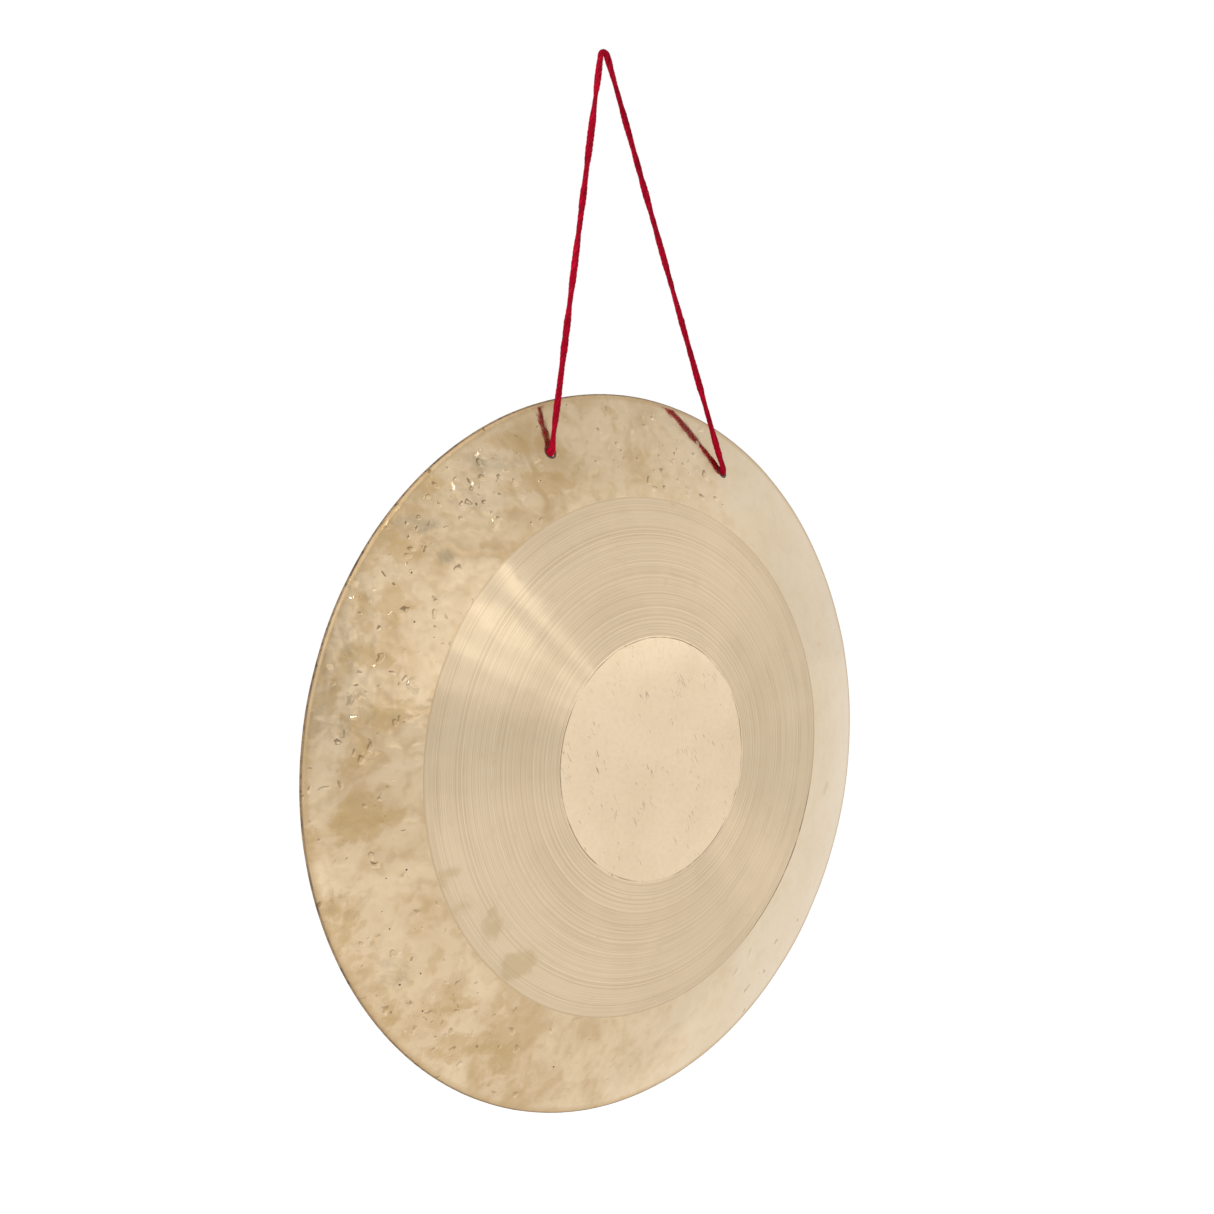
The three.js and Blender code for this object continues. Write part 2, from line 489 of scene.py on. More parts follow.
def cord_section(along, angle, flatness, full):
    """Radius of the cord's skin at a distance along it and an angle round it."""
    roll = math.tau * along / CORD_ROLL_PITCH_MM + ROLL_SWAY * cord_wave(along, ROLL_SEED)
    turned = angle - roll
    swell = 1 + SWELL_SHARE * cord_wave(along, SWELL_SEED)
    wide = CORD_WIDE_MM * swell * (1 + 0.06 * flatness) * (1 + ROUND_WIDER * full)
    narrow = CORD_NARROW_MM * swell * (1 - 0.10 * flatness) * (1 + ROUND_THICKER * full)
    oval = wide * narrow / np.sqrt((narrow * np.cos(turned)) ** 2 + (wide * np.sin(turned)) ** 2)
    ply = CORD_PLIES * (angle - math.tau * along / CORD_PLY_PITCH_MM)
    ply = ply + PLY_SWAY * cord_wave(along, PLY_SEED)
    groove = np.abs(np.cos(ply / 2)) ** 0.6
    strand = 0.02 * np.sin(3.7 * ply + 0.9 * along) + 0.015 * np.sin(8.3 * ply - 0.37 * along)
    depth = CORD_PLY_DEPTH * (1 - 0.8 * full)
    return oval * (1 - depth + depth * groove + strand * (1 - 0.8 * full))


class CordRun:
    """A stretch of cord: its centreline in mm, its frames, and where it is on the whole cord."""

    def __init__(self, line, start_along=0.0):
        self.line = line
        self.tangents, self.sides, self.fronts = carried_frames(line)
        self.along = start_along + lengths_along(line)
        self.flatness = cord_wave(self.along, FLAT_SEED)
        self.full = np.zeros_like(self.along)

    def part(self, first, last):
        """The stretch from one ring to another, with the same frames."""
        cut = object.__new__(CordRun)
        for key, value in self.__dict__.items():
            setattr(cut, key, value[first : last + 1])
        return cut

    def skin(self, ring, angle):
        """How far the cord's skin is from the centreline at a ring and an angle."""
        return float(cord_section(self.along[ring], angle, self.flatness[ring], self.full[ring]))

    def at(self, ring, angle, radius):
        """The point at an angle and a distance from a ring's centre."""
        across = math.cos(angle) * self.sides[ring] + math.sin(angle) * self.fronts[ring]
        return self.line[ring] + radius * across


def cord_tube(run):
    """The corners, faces and UVs of a closed tube with plies round a stretch of cord."""
    angles = angles_round(CORD_SIDES)
    verts = []
    for i, centre in enumerate(run.line):
        radius = cord_section(run.along[i], angles, run.flatness[i], run.full[i])
        across = np.outer(radius * np.cos(angles), run.sides[i])
        verts.extend((centre + across + np.outer(radius * np.sin(angles), run.fronts[i])) * MM)
    faces = []
    uvs = []
    for i in range(len(run.line) - 1):
        low, high = i * CORD_SIDES, (i + 1) * CORD_SIDES
        for j in range(CORD_SIDES):
            k = (j + 1) % CORD_SIDES
            faces.append((low + j, low + k, high + k, high + j))
            for ring, side in ((i, j), (i, j + 1), (i + 1, j + 1), (i + 1, j)):
                turn = side / CORD_SIDES - run.along[ring] / CORD_PLY_PITCH_MM
                uvs.append((turn, run.along[ring] * MM))
    for ring, order in ((0, -1), (len(run.line) - 1, 1)):
        centre = len(verts)
        verts.append(run.line[ring] * MM)
        for j in range(CORD_SIDES):
            pair = (ring * CORD_SIDES + j, ring * CORD_SIDES + (j + 1) % CORD_SIDES)
            faces.append((centre, *pair[::order]))
            uvs.extend([(0.0, run.along[ring] * MM)] * 3)
    return verts, faces, uvs


def small_ring(centre, width, count, side, front):
    """The corners of a small ring round a point."""
    turns = angles_round(count)
    return [centre + width * (math.cos(a) * side + math.sin(a) * front) for a in turns]


def add_spike(verts, faces, uvs, rings, spot, order=1):
    """A thin closed tube through rings of corners in millimetres, all at one place of the UV map."""
    base, sides = len(verts), len(rings[0])
    top = base + sides * (len(rings) - 1)
    verts.extend(corner * MM for ring in rings for corner in ring)
    for low in range(base, top, sides):
        for j in range(sides):
            k = (j + 1) % sides
            faces.append((low + j, low + k, low + sides + k, low + sides + j)[::order])
    faces.append(tuple(range(base, base + sides))[::-order])
    faces.append(tuple(range(top, top + sides))[::order])
    uvs.extend([spot] * (4 * (top - base) + 2 * sides))


def add_fuzz(verts, faces, uvs, run, seed):
    """Short loose fibres that lift a little off the cord's skin, each a thin three-sided spike."""
    chance = random.Random(seed)
    last = len(run.line) - 1
    for _ in range(int((run.along[-1] - run.along[0]) * FUZZ_PER_MM)):
        start = chance.randrange(FUZZ_FREE_RINGS, last - FUZZ_FREE_RINGS)
        angle = chance.uniform(0, math.tau)
        lift = abs(chance.gauss(0, 0.40)) + 0.08
        reach = chance.choice((-1, 1)) * chance.uniform(1.2, 4.5) / CORD_STEP_MM
        sway = chance.uniform(-0.8, 0.8)
        rings = []
        for step, t in enumerate((0.0, 0.35, 0.7, 1.0)):
            ring = max(0, min(last, start + int(t * reach)))
            turned = angle + sway * t * t
            height = run.skin(ring, turned) - FUZZ_ROOT_MM + (lift + FUZZ_ROOT_MM) * t**1.4
            thick = FUZZ_RADIUS_MM * (1 - 0.28 * step)
            centre = run.at(ring, turned, height)
            rings.append(small_ring(centre, thick, 3, run.sides[start], run.fronts[start]))
        spot = (angle / math.tau, run.along[start] * MM)
        add_spike(verts, faces, uvs, rings, spot, 1 if reach > 0 else -1)


def cord_material():
    material, tree = start_material("crimson_cord")
    uv = add(tree, "ShaderNodeUVMap", uv_map="along")
    yarn = noise(stretched(uv, (12, 120, 1)), 1.0, 4, 0.65)
    fibre = noise(stretched(uv, (60, 320, 1), shift=(3, 7, 0)), 1.0, 3, 0.7)
    place = object_place(tree)
    patch = noise(place, 55, 3, 0.6)
    mixed = yarn * 0.62 + fibre * 0.38
    low = blend_colour(between(mixed, 0.34, 0.50), CORD_DEEP, CORD_RED)
    colour = blend_colour(between(mixed, 0.50, 0.66), low, CORD_BRIGHT)
    # Painted shade: the cord is painted lighter on the left and darker on the right, by its place
    # along X.
    painted_side_shade = between(split(place)[0], -0.012, 0.012, CORD_LEFT_SHADE, CORD_RIGHT_SHADE)
    shade = between(patch, 0.3, 0.7, 0.86, 1.10) * painted_side_shade
    shaded = {0: 1.0, 6: colour, 7: combined(shade, shade, shade)}
    colour = add(tree, "ShaderNodeMix", shaded, 2, data_type="RGBA", blend_type="MULTIPLY")
    soft = {
        "Specular IOR Level": 0.05,
        "Sheen Weight": 0.12,
        "Sheen Roughness": 0.4,
        "Sheen Tint": CORD_SHEEN,
        "Normal": bump(mixed, 0.0010, 0.9),
    }
    return finish_material(material, colour, between(fibre, 0.3, 0.7, 0.55, 0.82), soft)


# The whole cord from hole to hole is one line, cut in three where the strands are straight.
CORD_ROUTE = [
    *LEFT_END_ROUTE[::-1],
    *LEFT_STRAND_ROUTE[::-1],
    *CROWN_ROUTE,
    *RIGHT_STRAND_ROUTE,
    *RIGHT_END_ROUTE,
]
LEFT_CUT = LEFT_STRAND_ROUTE[3]
RIGHT_CUT = RIGHT_STRAND_ROUTE[3]

# ------------------------------------------------------------------ the knots

KNOT_POINTS = 84
KNOT_SPACING_MM = 1.15
KNOT_THICK_MM = 3.05
KNOT_ROUNDS = 900
KNOT_HALF_MM = 6.5  # what lies further along the cord than this isn't part of the knot
KNOT_GAP_MM = 0.35
# How the loose knot is pulled tight: how fast it shortens, straightens, is pushed apart and is
# stretched back to its spacing.
KNOT_SHORTEN = 0.995
KNOT_STRAIGHTEN = 0.16
KNOT_PUSH = 0.42
KNOT_REGAIN = 0.9
KNOT_FIXES = 4  # how often it is stretched back in each round
KNOT_NEIGHBOURS = 1.9  # points nearer along the cord than these thicknesses don't push each other
KNOT_CENTRING = 0.9
KNOT_PULL_MM = 0.05
KNOT_START_MM = 240.0  # stands for its place on the whole cord
# The tail's points below the knot: how far from the plate, outwards, and along Y and Z.
TAIL_STEPS_MM = (
    (2.2, 0.3, 0.0, -0.9), (3.2, 0.9, 0.0, -4.2), (2.4, 1.1, 0.0, -9.5), (1.2, 0.2, 0.4, -15.5),
)
LEFT_KNOT_TURN = math.radians(200)
RIGHT_KNOT_TURN = math.radians(75)
FRAY_YARNS = 34
FRAY_RINGS = 7
FRAY_SIDES = 5
FRAY_LENGTH_MM = (6.0, 10.5)
FRAY_SPLAY = (0.15, 0.55)
FRAY_RADIUS_MM = (0.16, 0.27)
# Seeds of the loose fibres and the frayed yarns: each piece counts on from its first one.
CORD_FUZZ_SEED = 31
KNOT_FUZZ_SEED = 51
FRAY_SEED_STEP = 100


def overhand_knot():
    """The centreline of an overhand knot that runs along +Z, pulled tight by a small relaxation."""
    t = np.linspace(-2.15, 2.15, KNOT_POINTS * 4)
    loose = np.column_stack([3.2 * (t**3 - 3 * t), 3.2 * (t**4 - 4 * t**2), 2.6 * (t**5 - 10 * t)])
    line = even_line(loose, line_length(loose) / (KNOT_POINTS - 1))
    spacing = line_length(line) / (KNOT_POINTS - 1)
    apart = np.abs(np.subtract.outer(np.arange(KNOT_POINTS), np.arange(KNOT_POINTS)))
    for _ in range(KNOT_ROUNDS):
        spacing = max(KNOT_SPACING_MM, spacing * KNOT_SHORTEN)
        line[1:-1] += KNOT_STRAIGHTEN * (line[:-2] + line[2:] - 2 * line[1:-1])
        neighbours = math.ceil(KNOT_NEIGHBOURS * KNOT_THICK_MM / spacing)
        gaps = line[:, None, :] - line[None, :, :]
        far = np.linalg.norm(gaps, axis=2) + 1e-9
        touching = (far < KNOT_THICK_MM) & (apart > neighbours)
        push = np.where(touching, (KNOT_THICK_MM - far) / far, 0.0)
        line += KNOT_PUSH * (gaps * push[:, :, None]).sum(axis=1)
        for _ in range(KNOT_FIXES):
            step = np.diff(line, axis=0)
            size = np.linalg.norm(step, axis=1)[:, None]
            fix = 0.5 * step * (1 - spacing / size) * KNOT_REGAIN
            line[:-1] += fix
            line[1:] -= fix
        # Both ends are drawn to the axis and outwards.
        line[[0, -1], :2] *= KNOT_CENTRING
        line[0, 2] -= KNOT_PULL_MM
        line[-1, 2] += KNOT_PULL_MM
    return line


def plate_matrix_mm():
    """The plate's own frame: its axis is Y, and its front faces -Y."""
    turn = Matrix.Rotation(PLATE_LEAN, 4, "X") @ Matrix.Rotation(PLATE_TURN, 4, "Y")
    return Matrix.Translation(PLATE_CENTRE_MM) @ turn


PLATE_FRAME_MM = plate_matrix_mm()


def dome_height(radius):
    return DOME_HEIGHT_MM * (1 - (np.clip(radius, 0, PLATE_RADIUS_MM) / PLATE_RADIUS_MM) ** DOME_POWER)


def dome_slope(radius):
    share = radius / PLATE_RADIUS_MM
    return DOME_HEIGHT_MM * DOME_POWER * share ** (DOME_POWER - 1) / PLATE_RADIUS_MM


def hole_frame(side):
    """The middle of a hole at the plate's front, and the direction out of the plate's back there."""
    x, z = side * HOLE_SIDE_MM, HOLE_RISE_MM
    radius = math.hypot(x, z)
    slope = dome_slope(radius)
    # The front is y = -height, and height falls outwards, so y rises outwards by the slope.
    behind = Vector((-slope * x / radius, 1.0, -slope * z / radius)).normalized()
    front = Vector((x, -float(dome_height(radius)), z))
    place = PLATE_FRAME_MM @ front
    return np.array(place), np.array(PLATE_FRAME_MM.to_3x3() @ behind)


def knot_run(side, hole_end, turn):
    """The knot and its tail behind one hole, as one stretch of cord that starts in the hole."""
    front, behind = hole_frame(side)
    knot = overhand_knot()
    body = knot[np.abs(knot[:, 2]) < KNOT_HALF_MM]
    lowest = body[:, 2].min() - KNOT_THICK_MM / 2
    first = int(np.argmax(knot[:, 2] > lowest - 1.0))
    last = int(np.argmax(knot[:, 2] > -lowest + 2.5))
    knot = knot[first : last + 1] - np.array([*knot[first, :2], lowest])
    across = np.cross(behind, (0, 0, 1))
    across /= np.linalg.norm(across)
    upward = np.cross(across, behind)
    c, s = math.cos(turn), math.sin(turn)
    along_x = c * across + s * upward
    along_y = c * upward - s * across
    back = front + behind * (PLATE_THICKNESS_MM + KNOT_GAP_MM)
    placed = back + knot @ np.array([along_x, along_y, behind])
    leave = placed[-1]
    tail = [leave + away * behind + np.array([out * side, y, z]) for away, out, y, z in TAIL_STEPS_MM]
    points = [hole_end, *placed[2::2], *tail]
    run = CordRun(smooth_line(points, CORD_STEP_MM), KNOT_START_MM)
    run.full = 0.25 + 0.75 * np.clip(1 - (run.along - run.along[0]) / CORD_FULL_MM, 0, 1)
    return run


def fray(verts, faces, uvs, run, seed):
    """The yarns that splay out of the cord's cut end, each a thin tapered tube."""
    chance = random.Random(seed)
    last = len(run.line) - 1
    down = np.array([0.0, 0.0, -1.0])
    for _ in range(FRAY_YARNS):
        angle = chance.uniform(0, math.tau)
        spread = math.sqrt(chance.random())
        root = run.at(last - 3, angle, 1.35 * spread)
        outward = run.at(last, angle, 1.0) - run.line[last]
        length = chance.uniform(*FRAY_LENGTH_MM)
        splay = spread * chance.uniform(*FRAY_SPLAY)
        thick = chance.uniform(*FRAY_RADIUS_MM)
        rings = []
        for t in np.linspace(0, 1, FRAY_RINGS):
            bend = run.tangents[last] * (1 - 0.5 * t) + down * 0.5 * t
            curl = 0.5 * math.sin(5 * t + angle * 3)
            centre = root + length * t * bend + outward * (length * splay * t**1.3 + curl * t)
            width = thick * (1 - 0.75 * t**2)
            rings.append(small_ring(centre, width, FRAY_SIDES, run.sides[last], run.fronts[last]))
        add_spike(verts, faces, uvs, rings, (angle, (run.along[last] + 3 * spread) * MM))


def cord_mesh(name, run, material, seed, frayed=False):
    verts, faces, uvs = cord_tube(run)
    add_fuzz(verts, faces, uvs, run, seed)
    if frayed:
        fray(verts, faces, uvs, run, seed + FRAY_SEED_STEP)
    piece = new_mesh(name, verts, faces, uvs)
    piece.data.materials.append(material)
    return piece


def make_cords():
    """The whole cord in three pieces, which meet in the strands, and a knot behind each hole."""
    material = cord_material()
    whole = CordRun(smooth_line(CORD_ROUTE, CORD_STEP_MM))
    to_end = np.minimum(whole.along, whole.along[-1] - whole.along)
    whole.full = np.clip(1 - to_end / CORD_FULL_MM, 0, 1) ** 0.8

    def ring_at(point):
        return int(np.argmin(np.linalg.norm(whole.line - np.array(point), axis=1)))

    left_ring, right_ring = ring_at(LEFT_CUT), ring_at(RIGHT_CUT)
    last = len(whole.line) - 1
    runs = {
        "cord_left": whole.part(0, left_ring),
        "cord_top": whole.part(left_ring, right_ring),
        "cord_right": whole.part(right_ring, last),
    }
    knots = {
        "left": knot_run(-1, whole.line[0], LEFT_KNOT_TURN),
        "right": knot_run(1, whole.line[last], RIGHT_KNOT_TURN),
    }
    made = {}
    for seed, (name, run) in enumerate(runs.items()):
        made[name] = cord_mesh(name, run, material, CORD_FUZZ_SEED + seed)
    for seed, (side, run) in enumerate(knots.items()):
        name = f"cord_knot_{side}"
        made[name] = cord_mesh(name, run, material, KNOT_FUZZ_SEED + seed, frayed=True)
        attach(made[name], "plate")
        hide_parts(f"knot_{side}")

    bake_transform(made["cord_top"])
    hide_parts("cord_crown", "cord_strand_left", "cord_strand_right")
    for side, sign, strand in (("left", -1, LEFT_STRAND_ROUTE), ("right", 1, RIGHT_STRAND_ROUTE)):
        piece = made[f"cord_{side}"]
        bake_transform(piece)
        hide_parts(f"cord_end_{side}")


make_cords()

# ------------------------------------------------------------------ the bronze plate

# How many points each ring has, outwards from the middle, and how many rings.
CENTRE_STARTS = ((3.0, 40, 2), (12.0, 80, 4), (30.0, 160, 10), (LATHED_INNER_MM, 320, 22))
LATHED_RINGS = 46
RIM_RINGS = 58
RIM_POINTS = 640
BACK_RINGS = 44
# How many points a ring on the back has, while it lies outside a share of the radius.
BACK_POINTS = ((0.30, 320), (0.12, 160), (0, 80))
EDGE_ROUND_MM = 0.45
STEP_DEPTH_MM = 0.10
ZONE_WOBBLE_MM = 0.35
INNER_SEED = 61
OUTER_SEED = 62
# How strong the sheet's slow bends, its hammering and its folds are.
BEND_RELIEF_MM = 0.07
HAMMER_RELIEF_MM = 0.024
FOLD_RELIEF_MM = 0.30
# Dents all over the rim, and small ones in clusters: half-width and depth, each from and to.
RIM_DENTS = 420
DENT_SEED = 4
RIM_DENT_MM = (3.5, 8.5)
RIM_DENT_DEPTH_MM = (-0.04, 0.07)
PIT_DENT_MM = (1.5, 3.2)
PIT_DENT_DEPTH_MM = (0.025, 0.075)
# The mask of the pitted places is wider than a cluster, and full from this number of dents on.
PIT_MASK_WIDER = 1.5
PIT_MASK_FULL = 30
SHARP_ANGLE = math.radians(40)

# Where the front is most pitted: place on the plate in mm, spread in mm, dents for each cluster.
PIT_CLUSTERS = (
    (-100, 152, 16, 26), (-118, 138, 16, 40), (-143, 118, 13, 30), (-130, 108, 12, 22),
    (-156, 98, 12, 22), (-150, 74, 16, 26), (-166, 50, 15, 20), (-178, 2, 14, 16),
    (-176, -30, 15, 16), (-170, -72, 16, 18), (-150, -96, 22, 18), (-118, -132, 24, 24),
    (-84, -160, 18, 12), (-70, 170, 10, 10), (40, 178, 8, 8), (120, -130, 22, 10),
    (-22, 176, 18, 12), (8, 168, 18, 14), (34, 162, 16, 14), (52, 150, 12, 10),
)
# Tan stains, and painted dark reflections in the last four patches: place in mm, half-width along x
# and z, strength.
STAINS_AND_DARK_REFLECTIONS = (
    (-90, 166, 15, 7, 0.8), (-70, 146, 20, 8, 0.9), (-133, 141, 6, 5, 0.9),
    (-150, 106, 11, 12, 0.7), (-158, 80, 10, 13, 0.8), (-174, 74, 9, 14, 0.6),
    (-166, 52, 12, 9, 0.7), (-190, 30, 9, 22, 0.55), (-176, 8, 10, 12, 0.6),
    (-173, -26, 13, 15, 0.9), (-156, -25, 7, 7, 0.75), (-193, -32, 5, 10, 0.6),
    (-176, -78, 12, 20, 0.65), (-112, -124, 20, 6, 0.6), (-106, -148, 24, 10, 0.75),
    (-78, -158, 12, 14, 0.7), (-150, -124, 12, 14, 0.5), (-30, -186, 22, 6, 0.4),
    (-161, 25, 10, 9, 0.75), (-20, 189, 7, 12, 0.55), (-3, 165, 8, 7, 0.6), (-62, 168, 12, 9, 0.6),
    # Painted dark reflections: these four patches darken radial wedges on the lathed ring at the lower
    # left.
    (-126, -55, 7, 7, 0.55), (-116, -71, 8, 6, 0.6), (-99, -82, 7, 9, 0.75),
    (-82, -105, 11, 9, 0.9),
)
# Grey smudges of oxide, in the same way.
SMUDGES = (
    (-96, 154, 16, 6, 0.85), (-114, 134, 11, 8, 0.6), (-143, 119, 12, 6, 0.95),
    (-131, 104, 6, 4, 1.0), (-158, 96, 7, 7, 0.6), (-182, 66, 8, 10, 0.5), (-172, -66, 14, 12, 0.4),
    (-148, -108, 22, 14, 0.3), (-185, 15, 5, 13, 0.55),
)


def seeded_waves(seed, count, shortest, longest):
    """Random plane waves: a direction times its frequency, a phase and a weight for each."""
    chance = random.Random(seed)
    waves = []
    for _ in range(count):
        angle = chance.uniform(0, math.pi)
        wavelength = math.exp(chance.uniform(math.log(shortest), math.log(longest)))
        k = math.tau / wavelength
        phase = chance.uniform(0, math.tau)
        waves.append((k * math.cos(angle), k * math.sin(angle), phase, wavelength / longest))
    return waves


def wave_sum(waves, x, z):
    total = np.zeros_like(x)
    for along_x, along_z, phase, weight in waves:
        total += weight * np.sin(along_x * x + along_z * z + phase)
    return total


BEND_WAVES = seeded_waves(seed=11, count=16, shortest=70, longest=220)
HAMMER_WAVES = seeded_waves(seed=12, count=26, shortest=16, longest=60)
# Slight folds that run outwards: how many of each go round the plate, and where they start.
FOLDS = [(n, random.Random(90 + n).uniform(0, math.tau)) for n in range(5, 25)]


def sheet_relief(x, z):
    """How far the beaten sheet stands behind the smooth dome, in mm; both faces share it."""
    radius = np.hypot(x, z)
    angle = np.arctan2(z, x)
    on_rim = np.clip((radius - LATHED_OUTER_MM + 3) / 8, 0, 1)
    relief = BEND_RELIEF_MM * wave_sum(BEND_WAVES, x, z)
    relief += HAMMER_RELIEF_MM * on_rim * wave_sum(HAMMER_WAVES, x, z)
    ripple = sum(np.sin(n * angle + phase) / n for n, phase in FOLDS)
    ripple *= np.clip(radius / 110, 0, 1) ** 2 * np.clip((205 - radius) / 60, 0, 1)
    return relief + FOLD_RELIEF_MM * ripple


def sheet(x, z):
    """Where the beaten sheet's front is, in mm along Y."""
    return sheet_relief(x, z) - dome_height(np.hypot(x, z))


def dent_list():
    """Hammer dents on the front's rim: place, half-widths, turn and depth, all in mm."""
    chance = random.Random(DENT_SEED)
    dents = []
    while len(dents) < RIM_DENTS:
        angle = chance.uniform(0, math.tau)
        radius = chance.uniform(LATHED_OUTER_MM + 6, PLATE_RADIUS_MM - 4)
        left = 0.5 - 0.5 * math.cos(angle)
        if chance.random() > 0.25 + 0.75 * left:
            continue
        size = chance.uniform(*RIM_DENT_MM)
        depth = chance.uniform(*RIM_DENT_DEPTH_MM) * (0.35 + 0.65 * left)
        place = (radius * math.cos(angle), radius * math.sin(angle))
        short = size * chance.uniform(0.5, 1.0)
        dents.append((*place, size, short, chance.uniform(0, math.pi), depth))
    for x, z, spread, count in PIT_CLUSTERS:
        for _ in range(count):
            place = (chance.gauss(x, spread * 0.62), chance.gauss(z, spread * 0.62))
            if not LATHED_OUTER_MM + 4 < math.hypot(*place) < PLATE_RADIUS_MM - 3:
                continue
            size = chance.uniform(*PIT_DENT_MM)
            depth = chance.choice((1, 1, -0.7)) * chance.uniform(*PIT_DENT_DEPTH_MM)
            short = size * chance.uniform(0.6, 1.0)
            dents.append((*place, size, short, chance.uniform(0, math.pi), depth))
    return dents


DENTS = dent_list()


def dent_relief(x, z):
    total = np.zeros_like(x)
    for at_x, at_z, long, short, turn, depth in DENTS:
        near = np.flatnonzero((np.abs(x - at_x) < 2.4 * long) & (np.abs(z - at_z) < 2.4 * long))
        dx, dz = x[near] - at_x, z[near] - at_z
        c, s = math.cos(turn), math.sin(turn)
        far = ((c * dx + s * dz) / long) ** 2 + ((c * dz - s * dx) / short) ** 2
        total[near] += depth * np.exp(-(far**1.5))
    return total


def lathe_edge(angle, radius, seed):
    """A zone's edge, which wanders a little round the plate."""
    chance = random.Random(seed)
    shift = 0
    for n in (2, 3, 5, 9, 17, 31):
        height = chance.uniform(-1, 1) / n**0.7
        shift = shift + height * np.sin(n * angle + chance.uniform(0, math.tau))
    return radius + ZONE_WOBBLE_MM * shift


def front_relief(x, z):
    """What only the front has: dents on the rim, and the lathed ring's shallow cut."""
    radius = np.hypot(x, z)
    angle = np.arctan2(z, x)
    inner = lathe_edge(angle, LATHED_INNER_MM, INNER_SEED)
    outer = lathe_edge(angle, LATHED_OUTER_MM, OUTER_SEED)
    cut = np.clip((radius - inner) / 0.7, 0, 1) * np.clip((outer - radius) / 0.9, 0, 1)
    return dent_relief(x, z) + STEP_DEPTH_MM * cut * cut * (3 - 2 * cut)


def spots(x, z, places):
    """How strongly the nearest of some soft patches covers each point, 0 to 1."""
    total = np.zeros_like(x)
    for at_x, at_z, half_x, half_z, strength in places:
        far = ((x - at_x) / half_x) ** 2 + ((z - at_z) / half_z) ** 2
        total = np.maximum(total, strength * np.exp(-(far**1.3)))
    return total


def ring_points(radius, count, wobble_seed=None):
    """X and Z of the points of a ring. A zone's edge has a seed and wobbles."""
    angle = angles_round(count)
    if wobble_seed is not None:
        radius = lathe_edge(angle, radius, wobble_seed)
    return radius * np.cos(angle), radius * np.sin(angle)


def band(low, high):
    """Quads between two rings with equally many points. A ring is the numbers of its points."""
    pairs = list(zip(low, high))
    return [(*pair, *after[::-1]) for pair, after in zip(pairs, pairs[1:] + pairs[:1])]


def stitch(low, high):
    """Faces between an inner ring, or one point, and an outer one with as many points or twice."""
    count, more = len(low), len(high)
    if count == more:
        return band(low, high)
    if count == 1:
        return [(low[0], high[j], high[(j + 1) % more]) for j in range(more)]
    faces = []
    for j in range(count):
        a, b = low[j], low[(j + 1) % count]
        first, middle, last = (high[(2 * j + i) % more] for i in range(3))
        faces += [(a, first, middle), (a, middle, b), (b, middle, last)]
    return faces


def evenly(start, end, steps):
    """The ends of the even steps from one radius to another."""
    return [start + (end - start) * i / steps for i in range(1, steps + 1)]


def front_rings():
    """Radius, number of points, zone and wobble's seed of each ring on the front."""
    rings = []
    start = 0.0
    for end, count, steps in CENTRE_STARTS:
        for radius in evenly(start, end, steps):
            wobble_seed = INNER_SEED if radius == LATHED_INNER_MM else None
            rings.append((radius, count, "centre", wobble_seed))
        start = end
    lathed = evenly(LATHED_INNER_MM, LATHED_OUTER_MM, LATHED_RINGS)
    lathed.insert(0, LATHED_INNER_MM + 0.6)
    lathed.insert(-1, LATHED_OUTER_MM - 0.7)
    for radius in lathed:
        wobble_seed = OUTER_SEED if radius == LATHED_OUTER_MM else None
        rings.append((radius, RIM_POINTS, "lathed", wobble_seed))
    rim = evenly(LATHED_OUTER_MM, PLATE_RADIUS_MM - EDGE_ROUND_MM, RIM_RINGS)
    rim.insert(0, LATHED_OUTER_MM + 0.5)
    rings.extend((radius, RIM_POINTS, "rim", None) for radius in rim)
    return rings


def build_plate():
    """The whole plate as one closed mesh in its own frame, with a zone for each face."""
    middle = np.zeros(1)
    rings = [(middle, sheet(middle, middle), middle)]
    faces, zones = [], []
    before = range(1)

    def add_ring(x, y, z, zone):
        """Adds a ring of points, and faces between it and the ring before it."""
        nonlocal before
        ring = range(before.stop, before.stop + len(x))
        if zone == "back":
            made = [face[::-1] for face in stitch(ring, before)]
        else:
            made = stitch(before, ring)
        faces.extend(made)
        zones.extend([zone] * len(made))
        rings.append((x, y, z))
        before = ring

    for radius, points, zone, wobble_seed in front_rings():
        x, z = ring_points(radius, points, wobble_seed)
        add_ring(x, sheet(x, z) + front_relief(x, z), z, zone)
    # The edge: one ring rounds the front corner, one ends the wall, and one starts the back.
    x, z = ring_points(PLATE_RADIUS_MM, RIM_POINTS)
    y = sheet(x, z)
    soft = EDGE_ROUND_MM
    last = PLATE_THICKNESS_MM
    for inset, depth in ((0.13 * soft, 0.6 * soft), (0.0, last - soft), (soft, last)):
        shrink = 1 - inset / PLATE_RADIUS_MM
        add_ring(x * shrink, y + depth, z * shrink, "edge")
    for i in range(1, BACK_RINGS):
        share = 1 - i / BACK_RINGS
        points = next(count for above, count in BACK_POINTS if share > above)
        x, z = ring_points((PLATE_RADIUS_MM - soft) * share, points)
        add_ring(x, sheet(x, z) + PLATE_THICKNESS_MM, z, "back")
    add_ring(middle, sheet(middle, middle) + PLATE_THICKNESS_MM, middle, "back")
    return np.concatenate([np.column_stack(ring) for ring in rings]), faces, zones


HOLE_POINTS = 48
HOLE_CLEAR_MM = 5.0
HOLE_LIP_MM = 3.6
HOLE_CHAMFER_MM = 0.25


def boundary_of(removed, faces):
    """The loop of corners round the removed faces, in order."""
    edges = {}
    for index in removed:
        face = faces[index]
        edges.update(dict.fromkeys(zip(face, face[1:] + face[:1])))
    follow = {a: b for a, b in edges if (b, a) not in edges}
    first = next(iter(follow))
    loop = [first]
    while follow[loop[-1]] != first:
        loop.append(follow[loop[-1]])
    return loop


